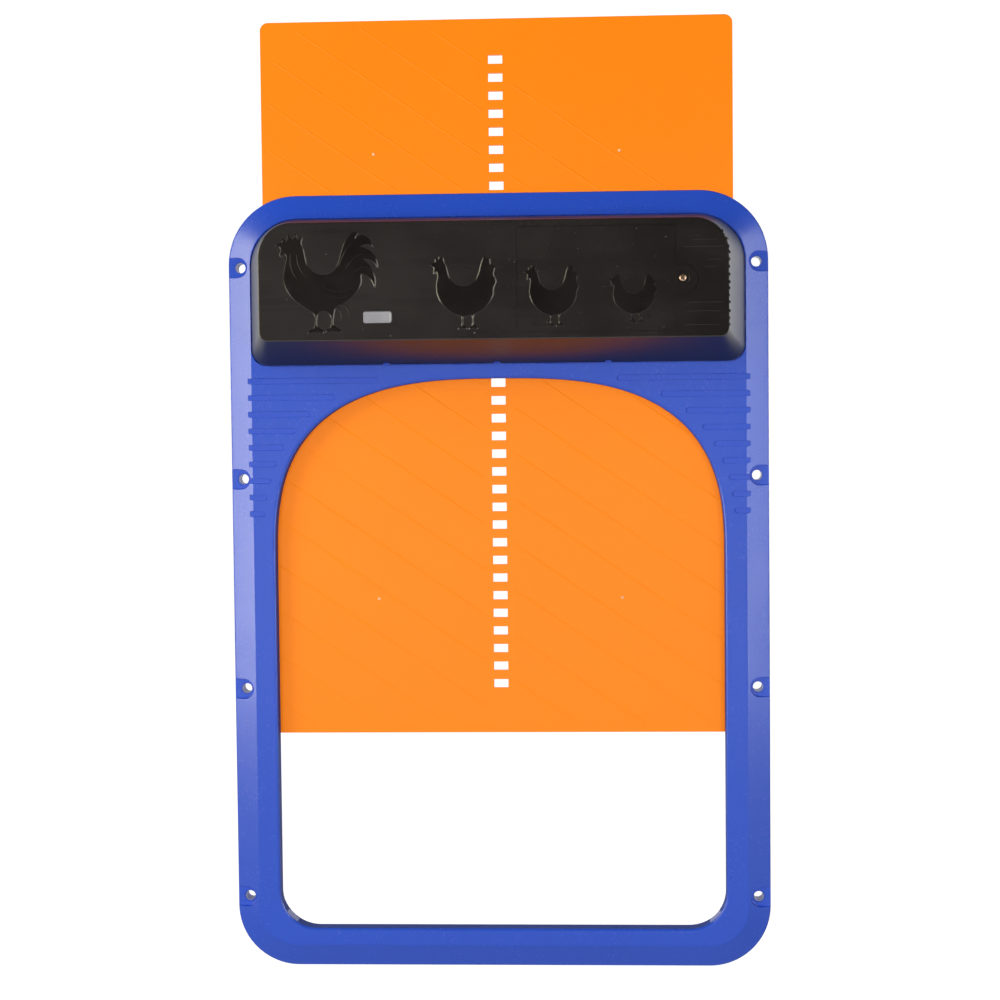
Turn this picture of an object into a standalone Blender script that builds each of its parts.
"""Automatic coop door: a battery-driven vertical sliding door for a hen house.

Axes: +X to the viewer's right, +Y from the front (outside) to the wall, +Z up.
Origin: bottom centre of the whole assembly, half way through its depth.
The working dimensions below are millimetres; MM turns them into metres.
"""
import math

import bmesh
import bpy
from mathutils import Matrix, Vector

MM = 0.001

# ---------------------------------------------------------------- frame
FRAME_HALF_W = 131.6        # half width of both frame halves
FRAME_H = 380.0             # height of the frame
FRAME_R_TOP = 33.6          # outer corner radii
FRAME_R_BOT = 30.0
BAND_W = 11.2               # sloping band all round the front
BAND_DROP = 4.5
FRONT_Y = 11.5              # front face of the frame
FRONT_BACK_Y = 19.4         # back face of the front half
REAR_Y0 = 19.7              # rear half
REAR_Y1 = 26.5              # the face that lies on the wall
REAR_GROW = 1.5             # the rear doorway is this much larger all round

OPEN_HALF_W = 109.8         # doorway
OPEN_Z0 = 19.5
OPEN_R = 18.0
ARCH_SPRING_Z = 202.0
ARCH_TOP_Z = 290.0
ARCH_POWER = 2.8

HOLE_X = 125.75             # eight wall screws
HOLE_R = 2.5
HOLE_Z0 = 34.75
HOLE_PITCH = 103.5
SEAT_HALF = 5.0
SEAT_Y = 16.1

GROOVES = 9                 # grip lines on each shoulder
GROOVE_TOP_Z = 289.7
GROOVE_PITCH = 8.11
GROOVE_H = 2.8
GROOVE_DEPTH = 0.8
GROOVE_OUT_X = 123.2

FRAME_SCREWS = [(s * 123.4, 86.5 + 103.5 * i) for s in (-1, 1) for i in (0, 2)] + [(-60.0, 8.5), (60.0, 8.5)]

# ---------------------------------------------------------------- door
DOOR_HALF_W = 115.0
DOOR_Z0 = 115.5             # lower edge, part open
DOOR_Z1 = 464.6
DOOR_Y0 = 19.9
DOOR_Y1 = 22.1
DOOR_R = 4.0
CHANNEL_HALF_W = 115.5
CHANNEL_Z0 = 13.5
CHANNEL_Y = 22.6
SLOTS = 36
SLOT_PITCH = 8.72
SLOT_Z0 = 139.76
SLOT_W = 7.0
SLOT_H = 4.2

# ---------------------------------------------------------------- drive
PINION_TEETH = 8
PINION_R = PINION_TEETH * SLOT_PITCH / (2 * math.pi)
PINION_ROOT = 9.3
PINION_TIP = 12.6
AXIS_Y = 0.5 * (DOOR_Y0 + DOOR_Y1) - PINION_R
AXIS_Z = SLOT_Z0 + 23 * SLOT_PITCH
WHEEL_TEETH = 20
WHEEL_R = 8.5
WHEEL_TIP = 9.35
WHEEL_ROOT = 7.3
WHEEL_X0, WHEEL_X1 = -16.5, -13.5
WORM_LEAD = 2 * math.pi * WHEEL_R / WHEEL_TEETH
WORM_R = 4.0
WORM_TIP = 4.85
WORM_ROOT = 2.75
WORM_LEN = 12.6
WORM_X = -15.0
WORM_Y = AXIS_Y - WHEEL_R - WORM_R
SHAFT_R = 2.0
BUSH_R = 3.5
BUSH_BORE = 2.3
WINDOW = (-18.5, 4.5, 326.5, 354.2)       # x0, x1, z0, z1 of the gear window
MOTOR_HALF_W = 10.05
MOTOR_HALF_T = 7.55
MOTOR_Z0, MOTOR_Z1 = 306.0, 331.0
MOTOR_CAP = 3.4

# ---------------------------------------------------------------- control box
BOX_HALF_W = 119.8
BOX_Z0, BOX_Z1 = 297.2, 368.0
BOX_R_TOP, BOX_R_BOT = 23.0, 8.0
FACE_HALF_W = 110.0
FACE_Z0, FACE_Z1 = 307.8, 363.0
FACE_R_TOP, FACE_R_BOT = 16.0, 4.3
BOX_Y0 = -26.5              # front of the box, the foremost face of the object
BOX_Y1 = FRONT_Y - 0.3
WALL = 2.3
BOX_SCREWS = [(-100.0, 352.0), (100.0, 352.0), (-103.0, 312.0), (103.0, 312.0)]
BOARD_SCREWS = [(-89.0, 350.0), (-48.0, 350.0)]
NOTCH_X = (-54.0, 0.0, 54.0)
POCKET = (-92.0, 92.0, 303.0, 362.0)      # hollow of the front frame behind the box
POCKET_Y = 16.9

LID = (11.3, 85.1, 310.9, 359.7)          # battery cover: x0, x1, z0, z1
LID_TAB = (88.5, 334.5, 7.0)
LID_SCREW = (88.5, 335.2)
WINDOW_PANE = (-60.4, -47.65, 316.1, 320.95)

# ---------------------------------------------------------------- batteries
CELL_R = 7.25
CELL_L = 50.5
HOLDER = (16.7, 79.3, 318.5, 351.5)
HOLDER_Y0, HOLDER_Y1 = -16.5, 16.6
CELL_Z = (327.4, 342.6)
CELL_Y = (-7.9, 7.1)

for old in list(bpy.data.objects):
    bpy.data.objects.remove(old, do_unlink=True)

PARTS = bpy.data.collections.new("automatic_coop_door")
CUTTERS = bpy.data.collections.new("cutters")
bpy.context.scene.collection.children.link(PARTS)
bpy.context.scene.collection.children.link(CUTTERS)


def finish(name, rgb, roughness, metallic=0.0):
    """One Principled material per sub-part, named after it."""
    mat = bpy.data.materials.new(name)
    mat.use_nodes = True
    node = mat.node_tree.nodes["Principled BSDF"]
    node.inputs["Base Color"].default_value = (*rgb, 1.0)
    node.inputs["Roughness"].default_value = roughness
    node.inputs["Metallic"].default_value = metallic
    return mat


BLUE = ((0.028, 0.10, 0.55), 0.42)
ORANGE = ((1.0, 0.26, 0.012), 0.45)
BLACK = ((0.022, 0.019, 0.018), 0.22)
GREY = ((0.32, 0.32, 0.33), 0.5)
STEEL = ((0.62, 0.62, 0.60), 0.3, 1.0)
BRASS = ((0.72, 0.52, 0.22), 0.3, 1.0)
NATURAL = ((0.78, 0.76, 0.70), 0.5)


def place(name, mesh, look, matrix=None):
    ob = bpy.data.objects.new(name, mesh)
    if matrix is not None:
        ob.matrix_world = matrix
    if look is None:
        CUTTERS.objects.link(ob)
        ob.hide_render = True
        ob.display_type = "WIRE"
    else:
        PARTS.objects.link(ob)
        ob.data.materials.append(finish(name, *look))
    return ob


def clean(mesh, dist=1e-6):
    bm = bmesh.new()
    bm.from_mesh(mesh)
    bmesh.ops.remove_doubles(bm, verts=bm.verts, dist=dist)
    bmesh.ops.recalc_face_normals(bm, faces=bm.faces)
    bm.to_mesh(mesh)
    bm.free()
    mesh.set_sharp_from_angle(angle=math.radians(35))


AXES = {
    "X": Matrix(((0, 0, 1, 0), (1, 0, 0, 0), (0, 1, 0, 0), (0, 0, 0, 1))),
    "Y": Matrix(((1, 0, 0, 0), (0, 0, -1, 0), (0, 1, 0, 0), (0, 0, 0, 1))),
    "Z": Matrix.Identity(4),
}


def curve_to_mesh(curve_ob, name, look):
    """A filled curve becomes a welded mesh, ready to be cut."""
    bpy.context.view_layer.update()
    graph = bpy.context.evaluated_depsgraph_get()
    mesh = bpy.data.meshes.new_from_object(curve_ob.evaluated_get(graph))
    matrix = curve_ob.matrix_world.copy()
    bpy.data.objects.remove(curve_ob, do_unlink=True)
    mesh.name = name
    mesh.materials.clear()
    clean(mesh)
    return place(name, mesh, look, matrix)


def plate(name, loops, low, high, axis="Y", look=None):
    """A flat outline (with holes, or several outlines) given a thickness along one axis."""
    curve = bpy.data.curves.new(name + "_outline", "CURVE")
    curve.dimensions = "2D"
    curve.fill_mode = "BOTH"
    curve.extrude = 0.5 * (high - low) * MM
    for loop in loops:
        spline = curve.splines.new("POLY")
        spline.points.add(len(loop) - 1)
        for point, (u, v) in zip(spline.points, loop):
            point.co = (u * MM, v * MM, 0.0, 1.0)
        spline.use_cyclic_u = True
    ob = bpy.data.objects.new(name + "_outline", curve)
    PARTS.objects.link(ob)
    middle = 0.5 * (low + high) * MM
    shift = {"X": (middle, 0, 0), "Y": (0, middle, 0), "Z": (0, 0, middle)}[axis]
    ob.matrix_world = Matrix.Translation(shift) @ AXES[axis]
    return curve_to_mesh(ob, name, look)


def wire(name, points, radius, look, resolution=1):
    """A round lead or spring along a list of points."""
    curve = bpy.data.curves.new(name + "_path", "CURVE")
    curve.dimensions = "3D"
    curve.bevel_depth = radius * MM
    curve.bevel_resolution = resolution
    curve.use_fill_caps = True
    spline = curve.splines.new("POLY")
    spline.points.add(len(points) - 1)
    for point, p in zip(spline.points, points):
        point.co = (p[0] * MM, p[1] * MM, p[2] * MM, 1.0)
    ob = bpy.data.objects.new(name + "_path", curve)
    PARTS.objects.link(ob)
    return curve_to_mesh(ob, name, look)


def smooth_path(knots, count):
    """Evenly sampled points on one smooth curve through the knots."""
    pts = [Vector(k) for k in knots]
    pts = [2 * pts[0] - pts[1]] + pts + [2 * pts[-1] - pts[-2]]
    out = []
    spans = len(pts) - 3
    for i in range(count):
        t = i / (count - 1) * spans
        k = min(int(t), spans - 1)
        t -= k
        a, b, c, d = pts[k:k + 4]
        out.append(0.5 * ((2 * b) + (c - a) * t + (2 * a - 5 * b + 4 * c - d) * t ** 2
                          + (3 * b - a - 3 * c + d) * t ** 3))
    return out


def box(name, x0, x1, y0, y1, z0, z1, look=None, bevel=0.0):
    bm = bmesh.new()
    bmesh.ops.create_cube(bm, size=1.0)
    for v in bm.verts:
        v.co = Vector((x0 + (v.co.x + 0.5) * (x1 - x0), y0 + (v.co.y + 0.5) * (y1 - y0),
                       z0 + (v.co.z + 0.5) * (z1 - z0))) * MM
    if bevel:
        bmesh.ops.bevel(bm, geom=list(bm.edges), offset=bevel * MM, segments=1, affect="EDGES")
    mesh = bpy.data.meshes.new(name)
    bm.to_mesh(mesh)
    bm.free()
    clean(mesh)
    return place(name, mesh, look)


def cylinder(name, radius, low, high, axis, at, look=None, sides=16, radius_high=None):
    """at gives the two coordinates across the axis: (y,z), (x,z) or (x,y)."""
    bm = bmesh.new()
    bmesh.ops.create_cone(bm, cap_ends=True, segments=sides, radius1=radius * MM,
                          radius2=(radius if radius_high is None else radius_high) * MM,
                          depth=(high - low) * MM)
    turn = {"X": Matrix.Rotation(math.radians(90), 4, "Y"), "Y": Matrix.Rotation(math.radians(-90), 4, "X"),
            "Z": Matrix.Identity(4)}[axis]
    middle = 0.5 * (low + high)
    where = {"X": (middle, at[0], at[1]), "Y": (at[0], middle, at[1]), "Z": (at[0], at[1], middle)}[axis]
    mesh = bpy.data.meshes.new(name)
    bm.to_mesh(mesh)
    bm.free()
    clean(mesh)
    return place(name, mesh, look, Matrix.Translation(Vector(where) * MM) @ turn)


def turned(name, profile, at, axis, look, steps=16, closed=False):
    """A turned shape: (radius, height) pairs run down the outer side, top to bottom."""
    mesh = bpy.data.meshes.new(name)
    verts = [(r * MM, 0.0, h * MM) for r, h in profile]
    edges = [(i, i + 1) for i in range(len(verts) - 1)]
    if closed:
        edges.append((len(verts) - 1, 0))
    mesh.from_pydata(verts, edges, [])
    turn = {"X": Matrix.Rotation(math.radians(90), 4, "Y"), "-X": Matrix.Rotation(math.radians(-90), 4, "Y"),
            "Y": Matrix.Rotation(math.radians(-90), 4, "X"), "-Y": Matrix.Rotation(math.radians(90), 4, "X"),
            "Z": Matrix.Identity(4)}[axis]
    ob = place(name, mesh, look, Matrix.Translation(Vector(at) * MM) @ turn)
    screw = ob.modifiers.new("turn", "SCREW")
    screw.axis = "Z"
    screw.angle = 2 * math.pi
    screw.steps = steps
    screw.render_steps = steps
    screw.use_merge_vertices = True
    screw.merge_threshold = 0.00001
    screw.use_smooth_shade = True
    return ob


def loft(name, sections, look=None):
    """A closed skin through sections that have the same number of points."""
    bm = bmesh.new()
    rings = [[bm.verts.new(Vector(p) * MM) for p in section] for section in sections]
    count = len(rings[0])
    for a, b in zip(rings, rings[1:]):
        for i in range(count):
            j = (i + 1) % count
            bm.faces.new((a[i], a[j], b[j], b[i]))
    bm.faces.new(list(reversed(rings[0])))
    bm.faces.new(rings[-1])
    bmesh.ops.recalc_face_normals(bm, faces=bm.faces)
    mesh = bpy.data.meshes.new(name)
    bm.to_mesh(mesh)
    bm.free()
    clean(mesh)
    return place(name, mesh, look)


def cut(target, *cutters, operation="DIFFERENCE"):
    for cutter in cutters:
        mod = target.modifiers.new(cutter.name, "BOOLEAN")
        mod.operation = operation
        mod.solver = "EXACT"
        mod.object = cutter
    return target


def join(target, *pieces):
    return cut(target, *pieces, operation="UNION")


def rounded(x0, x1, z0, z1, r_top, r_bot, n=8):
    """A rounded rectangle, counter-clockwise from its lower left corner."""
    out = []
    for cx, cz, r, start in ((x0 + r_bot, z0 + r_bot, r_bot, 180), (x1 - r_bot, z0 + r_bot, r_bot, 270),
                             (x1 - r_top, z1 - r_top, r_top, 0), (x0 + r_top, z1 - r_top, r_top, 90)):
        for i in range(n + 1):
            a = math.radians(start + 90 * i / n)
            out.append((cx + r * math.cos(a), cz + r * math.sin(a)))
    return out


def circle(x, z, r, n=16, phase=0.0):
    return [(x + r * math.cos(2 * math.pi * (i + phase) / n), z + r * math.sin(2 * math.pi * (i + phase) / n))
            for i in range(n)]


def rect(x0, x1, z0, z1):
    return [(x0, z0), (x1, z0), (x1, z1), (x0, z1)]


def at_y(loop, y):
    return [(u, y, v) for u, v in loop]


def doorway(grow=0.0, n=30):
    """The doorway: square sides, rounded lower corners and a basket arch above."""
    w = OPEN_HALF_W + grow
    z0 = OPEN_Z0 - grow
    r = OPEN_R + grow
    out = []
    for cx, start in ((-w + r, 180), (w - r, 270)):
        for i in range(7):
            a = math.radians(start + 90 * i / 6)
            out.append((cx + r * math.cos(a), z0 + r + r * math.sin(a)))
    rise = ARCH_TOP_Z + grow - ARCH_SPRING_Z
    for i in range(n + 1):
        a = math.pi * i / n
        c, s = math.cos(a), math.sin(a)
        out.append((w * math.copysign(abs(c) ** (2 / ARCH_POWER), c),
                    ARCH_SPRING_Z + rise * abs(s) ** (2 / ARCH_POWER)))
    return out


def arch_x(z):
    """Half width of the doorway at a height within the arch."""
    t = min(max((z - ARCH_SPRING_Z) / (ARCH_TOP_Z - ARCH_SPRING_Z), 0.0), 1.0)
    return OPEN_HALF_W * (1 - t ** ARCH_POWER) ** (1 / ARCH_POWER)


HOLES = [(s * HOLE_X, HOLE_Z0 + HOLE_PITCH * i) for s in (-1, 1) for i in range(4)]
OUTER = rounded(-FRAME_HALF_W, FRAME_HALF_W, 0, FRAME_H, FRAME_R_TOP, FRAME_R_BOT)
INNER = rounded(-FRAME_HALF_W + BAND_W, FRAME_HALF_W - BAND_W, BAND_W, FRAME_H - BAND_W,
                FRAME_R_TOP - BAND_W, FRAME_R_BOT - BAND_W)

# ================================================================ front frame
front_frame = loft("front_frame", [at_y(INNER, FRONT_Y), at_y(OUTER, FRONT_Y + BAND_DROP),
                                   at_y(OUTER, FRONT_BACK_Y)], BLUE)


def seat(x, z):
    """A D-shaped screw seat that runs out through the outer edge."""
    side = math.copysign(1.0, x)
    cx = side * (HOLE_X + 1.05)
    edge = side * (FRAME_HALF_W + 3)
    out = [(edge, z - SEAT_HALF), (edge, z + SEAT_HALF)]
    for i in range(9):
        a = math.radians(90 + 180 * i / 8)
        out.append((cx + side * SEAT_HALF * math.cos(a), z + SEAT_HALF * math.sin(a)))
    return out if side < 0 else list(reversed(out))


def groove(index, side):
    z = GROOVE_TOP_Z - GROOVE_PITCH * index
    # the inner ends stand off the arch by a nearly constant margin
    t = (z - ARCH_SPRING_Z) / (ARCH_TOP_Z + 4.8 - ARCH_SPRING_Z)
    x = (OPEN_HALF_W + 5.8) * (1 - t ** ARCH_POWER) ** (1 / ARCH_POWER)
    h = 0.5 * GROOVE_H
    out = [(side * GROOVE_OUT_X, z - h), (side * GROOVE_OUT_X, z + h)]
    for i in range(5):
        a = math.radians(90 + 180 * i / 4)
        out.append((side * (x + h + h * math.cos(a)), z + h * math.sin(a)))
    return out if side < 0 else list(reversed(out))


cut(front_frame,
    plate("doorway_front_cut", [doorway()], FRONT_Y - 5, FRONT_BACK_Y + 5),
    plate("gear_pocket_cut", [rect(*POCKET)], FRONT_Y - 5, POCKET_Y),
    plate("seat_cut", [seat(x, z) for x, z in HOLES], FRONT_Y - 5, SEAT_Y),
    plate("groove_cut", [groove(i, s) for s in (-1, 1) for i in range(GROOVES)], FRONT_Y - 5,
          FRONT_Y + GROOVE_DEPTH),
    plate("hole_front_cut", [circle(x, z, HOLE_R, 14) for x, z in HOLES], FRONT_Y - 2, FRONT_BACK_Y + 2),
    plate("gear_window_cut", [rect(*WINDOW)], POCKET_Y - 2, FRONT_BACK_Y + 2),
    plate("frame_screw_blind_cut", [circle(x, z, 1.55, 10) for x, z in FRAME_SCREWS], 14.4, FRONT_BACK_Y + 2),
    plate("box_screw_through_cut", [circle(x, z, 1.6, 10) for x, z in BOX_SCREWS], FRONT_Y - 2,
          FRONT_BACK_Y + 2),
    plate("box_screw_head_cut", [circle(x, z, 3.5, 12) for x, z in BOX_SCREWS], 16.6, FRONT_BACK_Y + 2))

# hollows behind the shoulders, so that the moulding is not one thick lump
shoulders = [[(s * 117.0, 232.0), (s * 117.0, 292.0), (s * 66.0, 292.0)]
             + [(s * (arch_x(z) + 5.5), z) for z in (283.0, 277.0, 268.0, 257.0, 244.0, 232.0)] for s in (-1, 1)]
cut(front_frame, plate("shoulder_hollow_cut", shoulders, 14.4, FRONT_BACK_Y + 2))

CHASSIS_SCREWS = [(13.0, 308.5), (-33.0, 356.5)]
cut(front_frame, plate("chassis_screw_blind_cut", [circle(x, z, 1.3, 10) for x, z in CHASSIS_SCREWS],
                       POCKET_Y - 2, 18.9))

# ================================================================ rear frame
rear_frame = plate("rear_frame", [OUTER], REAR_Y0, REAR_Y1, look=BLUE)
cut(rear_frame,
    plate("doorway_rear_cut", [doorway(REAR_GROW)], REAR_Y0 - 5, REAR_Y1 + 5),
    plate("channel_cut", [rect(-CHANNEL_HALF_W, CHANNEL_HALF_W, CHANNEL_Z0, FRAME_H + 5)], REAR_Y0 - 5,
          CHANNEL_Y),
    plate("pinion_relief_cut", [rect(-4.4, 4.4, WINDOW[2], WINDOW[3])], CHANNEL_Y - 1, 24.4),
    plate("hole_rear_cut", [circle(x, z, HOLE_R, 14) for x, z in HOLES], REAR_Y0 - 2, REAR_Y1 + 2),
    plate("frame_screw_through_cut", [circle(x, z, 1.6, 10) for x, z in FRAME_SCREWS], REAR_Y0 - 2,
          REAR_Y1 + 2),
    plate("frame_screw_head_cut", [circle(x, z, 3.2, 12) for x, z in FRAME_SCREWS], 24.2, REAR_Y1 + 2))

for i, (x, z) in enumerate(FRAME_SCREWS):
    turned(f"frame_screw_{i + 1}", [(0, 0), (2.4, 0), (2.8, -0.5), (1.25, -1.7), (1.25, -10.4), (0, -11.4)],
           (x, 26.2, z), "Y", STEEL, steps=12)

# ================================================================ door
door_loop = rounded(-DOOR_HALF_W, DOOR_HALF_W, DOOR_Z0, DOOR_Z1, DOOR_R, 1.5, 4)
slot_loops = [rect(-SLOT_W / 2, SLOT_W / 2, SLOT_Z0 + SLOT_PITCH * i - SLOT_H / 2,
                   SLOT_Z0 + SLOT_PITCH * i + SLOT_H / 2) for i in range(SLOTS)]
door_panel = plate("door_panel", [door_loop] + slot_loops, DOOR_Y0, DOOR_Y1, look=ORANGE)

# ================================================================ drive


def toothed(teeth, rows, first):
    """A gear outline: rows of (radius, half width) climb the flank of a tooth."""
    out = []
    for k in range(teeth):
        mid = first + 2 * math.pi * k / teeth
        for r, h in rows:
            out.append((mid - math.asin(h / r), r))
        for r, h in reversed(rows):
            out.append((mid + math.asin(h / r), r))
    return [(AXIS_Y + r * math.cos(a), AXIS_Z + r * math.sin(a)) for a, r in out]


def bored(ob, radius, axis, at, low, high, sides=14):
    return cut(ob, cylinder(ob.name + "_bore", radius, low, high, axis, at, sides=sides))


pinion_rows = [(PINION_ROOT, 1.65), (10.4, 1.45), (11.6, 1.15), (12.3, 0.85), (PINION_TIP, 0.5)]
drive_pinion = plate("drive_pinion", [toothed(PINION_TEETH, pinion_rows, 0.0)], -2.8, 2.8, "X", NATURAL)
bored(drive_pinion, SHAFT_R + 0.3, "X", (AXIS_Y, AXIS_Z), -5, 5)

wheel_rows = [(WHEEL_ROOT, 0.52), (WHEEL_R, 0.42), (WHEEL_TIP, 0.27)]
worm_wheel = plate("worm_wheel", [toothed(WHEEL_TEETH, wheel_rows, math.pi)], WHEEL_X0, WHEEL_X1, "X", NATURAL)
bored(worm_wheel, SHAFT_R + 0.3, "X", (AXIS_Y, AXIS_Z), WHEEL_X0 - 2, WHEEL_X1 + 2)

drive_shaft = turned("drive_shaft", [(0, 8.9), (1.6, 8.9), (SHAFT_R, 8.5), (SHAFT_R, -23.0), (1.6, -23.4), (0, -23.4)],
                     (0, AXIS_Y, AXIS_Z), "X", STEEL, steps=14)
shaft_collar = turned("shaft_collar", [(3.4, -3.2), (3.4, -13.1), (SHAFT_R + 0.3, -13.1), (SHAFT_R + 0.3, -3.2)],
                      (0, AXIS_Y, AXIS_Z), "X", NATURAL, steps=14, closed=True)

for name, x0, x1 in (("shaft_bush_left", -23.2, -18.9), ("shaft_bush_right", 4.7, 9.3)):
    turned(name, [(BUSH_R, x1), (BUSH_R, x0), (BUSH_BORE, x0), (BUSH_BORE, x1)], (0, AXIS_Y, AXIS_Z), "X",
           BRASS, steps=16, closed=True)


def worm_ring(z, n=16):
    """One cross-section of a right-hand single-start thread."""
    ring = []
    for i in range(n):
        a = 2 * math.pi * i / n
        u = ((z - AXIS_Z) / WORM_LEAD - a / (2 * math.pi) + 0.75) % 1.0
        off = min(u, 1.0 - u) * WORM_LEAD            # axial distance from the crest
        t = min(max((off - 0.26) / 0.46, 0.0), 1.0)
        r = WORM_TIP + (WORM_ROOT - WORM_TIP) * t
        ring.append((WORM_X + r * math.cos(a), WORM_Y + r * math.sin(a), z))
    return ring


rings = 38
worm = loft("worm", [worm_ring(AXIS_Z - WORM_LEN / 2 + WORM_LEN * i / (rings - 1)) for i in range(rings)], BRASS)
bored(worm, 1.3, "Z", (WORM_X, WORM_Y), AXIS_Z - WORM_LEN, AXIS_Z + WORM_LEN, sides=10)
motor_shaft = turned("motor_shaft", [(0, 352.6), (0.8, 352.6), (1.0, 352.4), (1.0, 331.6), (0, 331.6)],
                     (WORM_X, WORM_Y, 0), "Z", STEEL, steps=10)


def motor_outline():
    """A round can with two flats."""
    edge = math.asin(MOTOR_HALF_T / MOTOR_HALF_W)
    out = []
    for middle in (0.0, math.pi):
        for i in range(9):
            a = middle + edge * (i / 4 - 1)
            out.append((WORM_X + MOTOR_HALF_W * math.cos(a), WORM_Y + MOTOR_HALF_W * math.sin(a)))
    return out


motor_can = plate("motor_can", [motor_outline()], MOTOR_Z0 + MOTOR_CAP + 0.3, MOTOR_Z1, "Z", STEEL)
bored(motor_can, 1.4, "Z", (WORM_X, WORM_Y), 325.0, 340.0)
motor_end_cap = plate("motor_end_cap", [motor_outline()], MOTOR_Z0, MOTOR_Z0 + MOTOR_CAP, "Z", BLACK)

chassis_base = plate("gear_chassis", [rounded(-37, 16.2, 304.6, 360.6, 3, 3, 3)], 14.0, 16.6, look=NATURAL)
gear_chassis = chassis_base
join(gear_chassis,
     plate("cheek_left", [rect(1.5, 15, 333.2, 347.4)], -23.0, -19.2, "X"),
     plate("cheek_right", [rect(1.5, 15, 333.2, 347.4)], 5.0, 9.0, "X"),
     box("cradle_low", -25, -5, 5.3, 15, 310, 312.4),
     box("cradle_high", -25, -5, 5.3, 15, 321.6, 324.0),
     box("worm_lug", -20, -10, -7, 15, 350.3, 353.6))
cut(gear_chassis,
    plate("chassis_window_cut", [rect(*WINDOW)], 12.5, 18),
    cylinder("bush_left_cut", BUSH_R + 0.3, -25, -18, "X", (AXIS_Y, AXIS_Z)),
    cylinder("bush_right_cut", BUSH_R + 0.3, 3, 11, "X", (AXIS_Y, AXIS_Z)),
    cylinder("worm_lug_cut", 1.35, 348, 356, "Z", (WORM_X, WORM_Y), sides=12),
    plate("chassis_screw_cut", [circle(x, z, 1.6, 10) for x, z in CHASSIS_SCREWS], 12, 18))
STRAP_SCREWS = [(-30.0, 317.0), (0.3, 317.0)]
cut(gear_chassis, plate("strap_thread_cut", [circle(x, z, 1.5, 10) for x, z in STRAP_SCREWS], 12, 18))
for i, (x, z) in enumerate(CHASSIS_SCREWS):
    turned(f"chassis_screw_{i + 1}", [(0, 2.0), (1.9, 2.0), (2.6, 1.3), (2.6, 0.3), (1.0, 0.3), (1.0, -4.4), (0, -4.7)],
           (x, 14.0, z), "-Y", STEEL, steps=12)


def strap_outline():
    """A sprung strap over the motor, with a foot on each side."""
    x0, x1 = WORM_X - MOTOR_HALF_W - 0.3, WORM_X + MOTOR_HALF_W + 0.3
    y0 = WORM_Y - MOTOR_HALF_T - 0.3
    t, foot = 1.0, 13.7
    return [(x0 - 7.5, foot), (x0 - 7.5, foot - t), (x0 - t, foot - t), (x0 - t, y0 + 2.0), (x0 - t + 3.0, y0 - t),
            (x1 + t - 3.0, y0 - t), (x1 + t, y0 + 2.0), (x1 + t, foot - t), (x1 + 7.5, foot - t), (x1 + 7.5, foot),
            (x1, foot), (x1, y0 + 3.0), (x1 - 3.0, y0), (x0 + 3.0, y0), (x0, y0 + 3.0), (x0, foot)]


motor_strap = plate("motor_strap", [strap_outline()], 313.6, 320.4, "Z", STEEL)
cut(motor_strap, plate("strap_hole_cut", [circle(x, z, 1.6, 10) for x, z in STRAP_SCREWS], 11, 15))
for i, (x, z) in enumerate(STRAP_SCREWS):
    turned(f"strap_screw_{i + 1}", [(0, 1.8), (1.7, 1.8), (2.3, 1.2), (2.3, 0.3), (1.15, 0.3), (1.15, -3.2), (0, -3.7)],
           (x, 12.7, z), "-Y", STEEL, steps=12)

# ================================================================ control box


def box_section(y, inset=0.0):
    t = (BOX_Y1 - y) / (BOX_Y1 - BOX_Y0)
    def mix(a, b):
        return a + (b - a) * t
    w = mix(BOX_HALF_W, FACE_HALF_W) - inset
    return at_y(rounded(-w, w, mix(BOX_Z0, FACE_Z0) + inset, mix(BOX_Z1, FACE_Z1) - inset,
                        mix(BOX_R_TOP, FACE_R_TOP) - inset, mix(BOX_R_BOT, FACE_R_BOT) - inset, 7), y)


box_cover = loft("box_cover", [box_section(BOX_Y1), box_section(BOX_Y0 + 0.6), box_section(BOX_Y0 + 0.2, 0.12),
                               box_section(BOX_Y0, 0.5)], BLACK)
inner_sections = [box_section(BOX_Y1, WALL), box_section(BOX_Y0 + WALL, WALL)]
inner_sections[0] = [(x, BOX_Y1 + 1.0, z) for x, _, z in inner_sections[0]]
box_hollow = loft("box_hollow_cut", inner_sections)


def lid_outline(grow=0.0, tab=True, n=12):
    """The battery cover: a rounded rectangle with a screw tab on its right side."""
    x0, x1, z0, z1 = LID[0] - grow, LID[1] + grow, LID[2] - grow, LID[3] + grow
    base = rounded(x0, x1, z0, z1, 1.2 + grow, 1.2 + grow, 2)
    if not tab:
        return base
    cx, cz, r = LID_TAB
    r += grow
    half = math.acos((x1 - cx) / r)
    arc = [(cx + r * math.cos(a), cz + r * math.sin(a))
           for a in [-half + 2 * half * i / n for i in range(n + 1)]]
    return base[:6] + arc + base[6:]


battery_opening = plate("battery_opening_cut", [rounded(LID[0] + 2.6, LID[1] - 2.6, LID[2] + 2.2, LID[3] - 2.2, 2, 2, 2)],
                        BOX_Y0 - 5, -20.0)
lid_seat = plate("lid_seat_cut", [lid_outline(0.35)], BOX_Y0 - 5, -22.9)
cut(box_cover, box_hollow)
join(box_cover,
     plate("lid_ledge", [rounded(LID[0] - 3.5, 98.0, 309.6, 361.2, 2, 2, 2)], BOX_Y0 + WALL - 0.2, -21.4),
     cylinder("lid_screw_boss", 3.6, -22.0, -12.0, "Y", LID_SCREW, sides=14))
join(box_cover, *[cylinder(f"box_boss_{i}", 4.0, BOX_Y0 + WALL - 0.3, BOX_Y1, "Y", p, sides=14)
                  for i, p in enumerate(BOX_SCREWS)])
join(box_cover, *[cylinder(f"board_boss_{i}", 3.0, BOX_Y0 + WALL - 0.3, -14.3, "Y", p, sides=12)
                  for i, p in enumerate(BOARD_SCREWS)])
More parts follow.
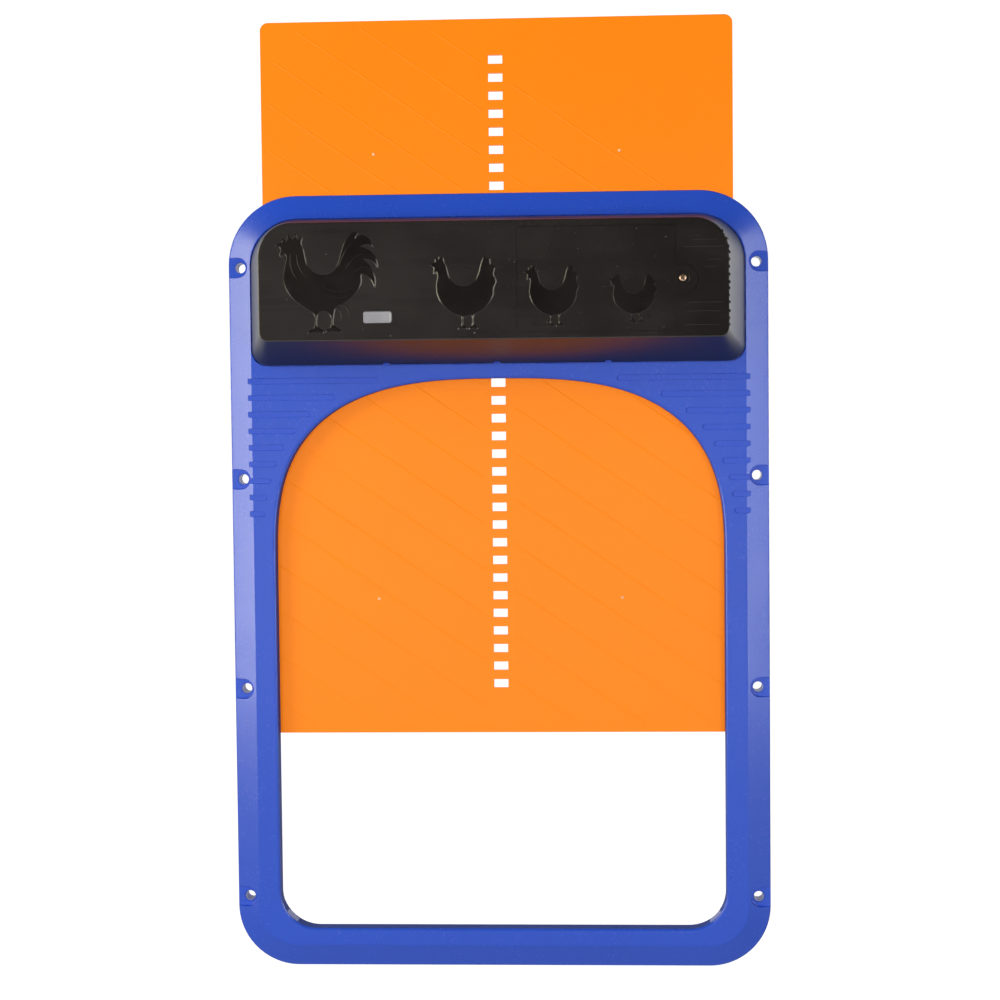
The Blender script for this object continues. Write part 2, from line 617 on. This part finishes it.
cut(box_cover, lid_seat, battery_opening,
    plate("lid_screw_pilot_cut", [circle(*LID_SCREW, 1.55, 10)], BOX_Y0 - 2, -13.5),
    plate("box_screw_pilot_cut", [circle(x, z, 1.55, 10) for x, z in BOX_SCREWS], -12, 14),
    plate("board_screw_pilot_cut", [circle(x, z, 1.3, 10) for x, z in BOARD_SCREWS], -21.5, -13),
    plate("pane_cut", [rounded(WINDOW_PANE[0] - 0.3, WINDOW_PANE[1] + 0.3, WINDOW_PANE[2] - 0.3,
                               WINDOW_PANE[3] + 0.3, 1.4, 1.4, 3)], BOX_Y0 - 2, -20),
    plate("notch_cut", [circle(x, BOX_Z0, 1.6, 12) for x in NOTCH_X], 8.0, 13.0))

for i, (x, z) in enumerate(BOX_SCREWS):
    turned(f"box_screw_{i + 1}", [(0, 0), (2.5, 0), (2.9, -0.4), (2.9, -1.6), (1.25, -1.6), (1.25, -22.0), (0, -23.0)],
           (x, 18.9, z), "Y", STEEL, steps=12)

battery_cover = plate("battery_cover", [lid_outline(0.0)], BOX_Y0, -24.7, look=BLACK)
cut(battery_cover,
    plate("lid_screw_clear_cut", [circle(*LID_SCREW, 1.6, 12)], BOX_Y0 - 2, -22),
    plate("lid_screw_head_cut", [circle(*LID_SCREW, 3.1, 16)], BOX_Y0 - 2, -25.2))
battery_gasket = plate("battery_gasket",
                       [rounded(LID[0] + 0.3, LID[1] - 0.1, LID[2] + 0.3, LID[3] - 0.3, 1, 1, 2),
                        rounded(LID[0] + 2.6, LID[1] - 2.6, LID[2] + 2.2, LID[3] - 2.2, 1, 1, 2)],
                       -24.4, -23.2, look=BLACK)
battery_cover_screw = turned("battery_cover_screw", [(0, 0.9), (1.6, 0.9), (2.6, 0.35), (2.6, 0.0), (1.2, 0.0),
                                                     (1.2, -9.0), (0, -10.0)],
                             (LID_SCREW[0], -25.5, LID_SCREW[1]), "-Y", BRASS, steps=14)

sensor_window = plate("sensor_window", [rounded(*WINDOW_PANE, 1.2, 1.2, 3)], -26.2, -24.4, look=GREY)

# ================================================================ electronics
BOARD_Y0, BOARD_Y1 = -14.0, -12.4
circuit_board = plate("circuit_board",
                      [rounded(-96, -42, 313.5, 355.5, 1.5, 1.5, 2)] + [circle(x, z, 1.6, 10) for x, z in BOARD_SCREWS],
                      BOARD_Y0, BOARD_Y1, look=((0.02, 0.19, 0.07), 0.45))
for i, (x, z) in enumerate(BOARD_SCREWS):
    turned(f"board_screw_{i + 1}", [(0, 1.9), (1.7, 1.9), (2.3, 1.3), (2.3, 0.3), (1.0, 0.3), (1.0, -7.0), (0, -7.6)],
           (x, BOARD_Y1, z), "Y", STEEL, steps=12)
light_sensor = turned("light_sensor", [(0, 8.2), (1.9, 8.2), (2.4, 7.8), (2.4, 0.3), (0, 0.3)],
                      (-57.4, BOARD_Y0, 318.5), "-Y", ((0.6, 0.25, 0.12), 0.4), steps=14)
status_led = turned("status_led", [(0, 8.4), (0.8, 8.2), (1.4, 7.4), (1.5, 6.6), (1.5, 1.2), (1.9, 1.0), (1.9, 0.3), (0, 0.3)],
                    (-50.6, BOARD_Y0, 318.5), "-Y", ((0.75, 0.1, 0.08), 0.25), steps=12)
controller_chip = box("controller_chip", -78, -69, BOARD_Y1 + 0.3, BOARD_Y1 + 2.1, 331, 340, BLACK, 0.3)
supply_capacitor = turned("supply_capacitor", [(0, 8.3), (2.7, 8.3), (3.1, 7.9), (3.1, 0.3), (0, 0.3)],
                          (-86.0, BOARD_Y1, 325.0), "Y", STEEL, steps=14)
motor_plug = box("motor_plug", -52.5, -46.0, BOARD_Y1 + 0.3, BOARD_Y1 + 5.8, 321, 329, NATURAL, 0.4)
battery_plug = box("battery_plug", -62.0, -54.0, BOARD_Y1 + 0.3, BOARD_Y1 + 5.8, 344.5, 351, NATURAL, 0.4)

# ================================================================ batteries
hx0, hx1, hz0, hz1 = HOLDER
battery_holder = box("battery_holder", hx0, hx1, HOLDER_Y0, HOLDER_Y1, hz0, hz1, BLACK)
inner_z0, inner_z1 = CELL_Z[0] - CELL_R - 0.35, CELL_Z[1] + CELL_R + 0.35
cut(battery_holder,
    box("cell_bay_cut", hx0 + 1.6, hx1 - 1.6, HOLDER_Y0 - 5, 14.7, inner_z0, inner_z1),
    box("finger_cut", 40, 56, HOLDER_Y0 - 5, -6.0, hz0 - 5, hz1 + 5),
    box("lead_cut", hx0 - 2, hx0 + 4, -14.0, -10.5, 333.2, 336.8))

bay0, bay1 = hx0 + 1.6, hx1 - 1.6
CELL_PROFILE = [(0, CELL_L), (2.7, CELL_L), (2.7, CELL_L - 1.0), (6.6, CELL_L - 1.0), (CELL_R, CELL_L - 1.7),
                (CELL_R, 0.5), (6.8, 0), (0, 0)]
number = 0
for row, z in enumerate(CELL_Z):
    for layer, y in enumerate(CELL_Y):
        number += 1
        flip = (row + layer) % 2 == 0
        # the button end stands against the flat contact, the other end on the spring
        start = bay0 + 1.2 if flip else bay1 - 1.2
        at = (start + CELL_L, y, z) if flip else (start - CELL_L, y, z)
        turned(f"battery_cell_{number}", CELL_PROFILE, at, "-X" if flip else "X", ((0.10, 0.11, 0.12), 0.35), steps=18)
        sign = 1 if flip else -1
        box(f"battery_contact_{number}", *sorted((start - sign * 0.4, start - sign * 0.9)), y - 5, y + 5, z - 5, z + 5,
            STEEL)
        low = start + sign * (CELL_L + 0.55)
        high = (bay1 if flip else bay0) - sign * 0.75
        turns, points = 2.5, 26
        path = []
        for i in range(points):
            t = i / (points - 1)
            a = 2 * math.pi * turns * t
            r = 2.6 + 2.4 * t
            path.append((low + (high - low) * t, y + r * math.cos(a), z + r * math.sin(a)))
        wire(f"battery_spring_{number}", path, 0.4, STEEL)

# ================================================================ leads, held inside the box
RED = ((0.6, 0.02, 0.015), 0.4)
DARK = ((0.012, 0.012, 0.012), 0.4)
wire("battery_lead_red", smooth_path([(14.9, -13.3, 334.2), (12.5, -13.4, 340), (9, -12.6, 350), (0, -9.5, 357.4), (-20, -8.5, 358.8),
                                      (-42, -7.5, 357.6), (-56.4, -3.6, 352.0), (-56.4, -6.2, 348.6)], 22), 0.8, RED)
wire("battery_lead_black", smooth_path([(14.9, -11.0, 334.2), (11.5, -10.6, 340), (8, -9.6, 349), (0, -6.4, 355.6), (-20, -5.2, 358.8),
                                        (-42, -4.4, 357.6), (-59.8, -2.0, 352.8), (-59.8, -6.2, 348.6)], 22), 0.8, DARK)
wire("motor_lead_red", smooth_path([(-25.6, -4.6, 307.6), (-30, -5.2, 309.0), (-38, -5.0, 315), (-45, -2.4, 322), (-48.0, -2.6, 326.0), (-48.4, -5.6, 326.6)],
                                   14), 0.7, RED)
wire("motor_lead_black", smooth_path([(-25.6, -1.6, 307.6), (-31, -1.4, 308.6), (-40, -1.2, 313), (-47, -1.0, 320), (-50.6, -2.6, 323.4),
                                      (-50.6, -5.6, 323.6)], 14), 0.7, DARK)

# ================================================================ joints' axes


def hang_on(name, at, children):
    """An empty on a joint's axis carries the pieces that move with it."""
    empty = bpy.data.objects.new(name, None)
    PARTS.objects.link(empty)
    empty.location = Vector(at) * MM
    empty.empty_display_size = 0.01
    bpy.context.view_layer.update()
    for child in children:
        world = child.matrix_world.copy()
        child.parent = empty
        child.matrix_parent_inverse = Matrix.Translation(-empty.location)
        child.matrix_world = world


bpy.context.view_layer.update()
hang_on("door_slide_axis", (0, 0.5 * (DOOR_Y0 + DOOR_Y1), DOOR_Z0), [door_panel])
hang_on("drive_shaft_axis", (0, AXIS_Y, AXIS_Z), [drive_shaft, shaft_collar, drive_pinion, worm_wheel])
hang_on("worm_axis", (WORM_X, WORM_Y, AXIS_Z), [worm, motor_shaft])
bpy.context.view_layer.update()
